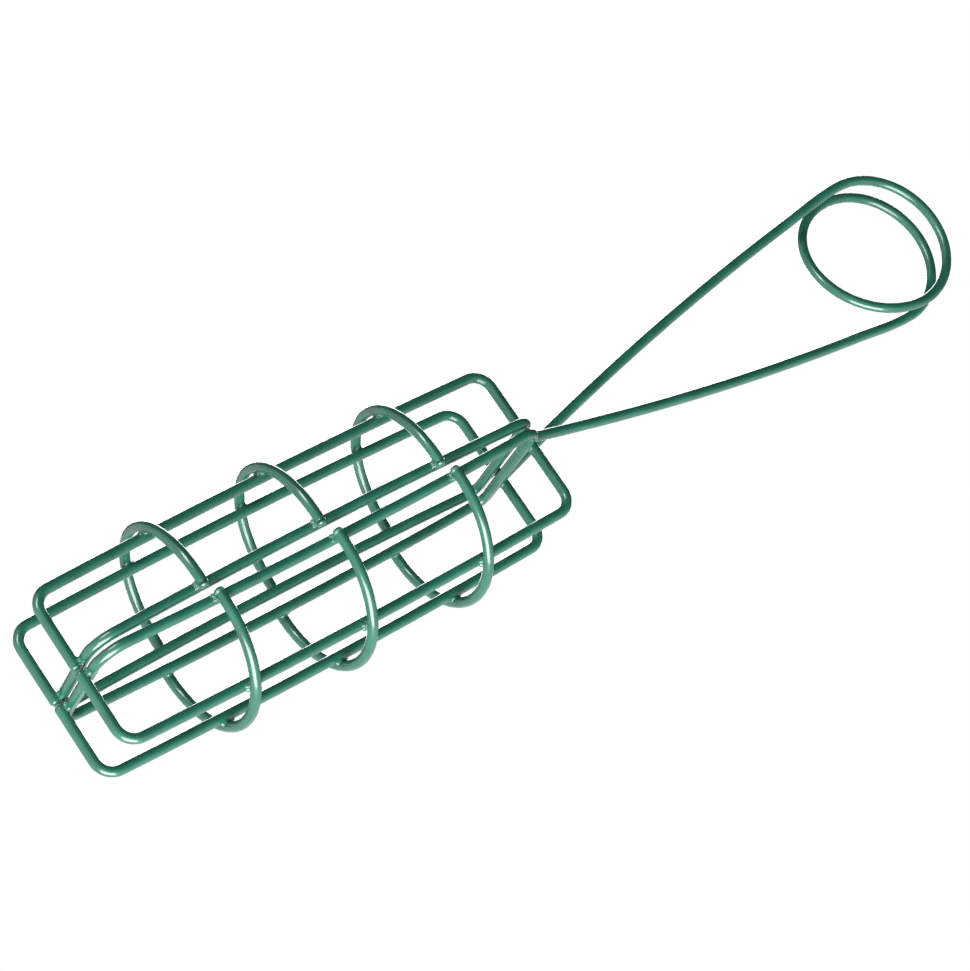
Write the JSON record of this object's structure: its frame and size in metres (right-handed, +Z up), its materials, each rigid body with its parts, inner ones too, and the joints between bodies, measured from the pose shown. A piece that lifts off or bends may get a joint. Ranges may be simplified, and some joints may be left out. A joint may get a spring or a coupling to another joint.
{
  "type": "hanging bird feeder",
  "caption": "Squeeze-to-open wire cage feeder for fat balls: two sprung half cages on crossed arms that run up into a coil it hangs by.",
  "frame": {"origin": "middle of the spring coil, whose eye the feeder hangs by", "axes": "+Z up along the handle from the cage to the coil, +Y to the rear along the coil's axis, +X to the right, across the split between the two half cages"},
  "size_m": [0.0858, 0.0714, 0.4307],
  "materials": {
    "green_coating": "gloss"
  },
  "bodies": {
    "coil": {"spring_coil": "green_coating"},
    "right_jaw": {"right_jaw_arm": "green_coating", "right_loop": "green_coating", "right_front_rail": "green_coating", "right_rear_rail": "green_coating", "right_ring_low": "green_coating", "right_ring_mid": "green_coating", "right_ring_top": "green_coating"},
    "left_jaw": {"left_jaw_arm": "green_coating", "left_loop": "green_coating", "left_front_rail": "green_coating", "left_rear_rail": "green_coating", "left_ring_low": "green_coating", "left_ring_mid": "green_coating", "left_ring_top": "green_coating"}
  },
  "joints": [
    {"name": "right_jaw_open", "type": "hinge", "parent": "coil", "child": "right_jaw", "pos_m": [0, 0, 0], "axis": [0, -1, 0], "range_deg": [0, 9], "stiffness_Nm_per_rad": 5, "springref_deg": -1.72},
    {"name": "left_jaw_open", "type": "hinge", "parent": "coil", "child": "left_jaw", "pos_m": [0, 0, 0], "axis": [0, 1, 0], "range_deg": [0, 9], "stiffness_Nm_per_rad": 5, "springref_deg": -1.72}
  ],
  "couplings": [
    {"joint": "left_jaw_open", "follows": "right_jaw_open", "ratio": 1}
  ]
}
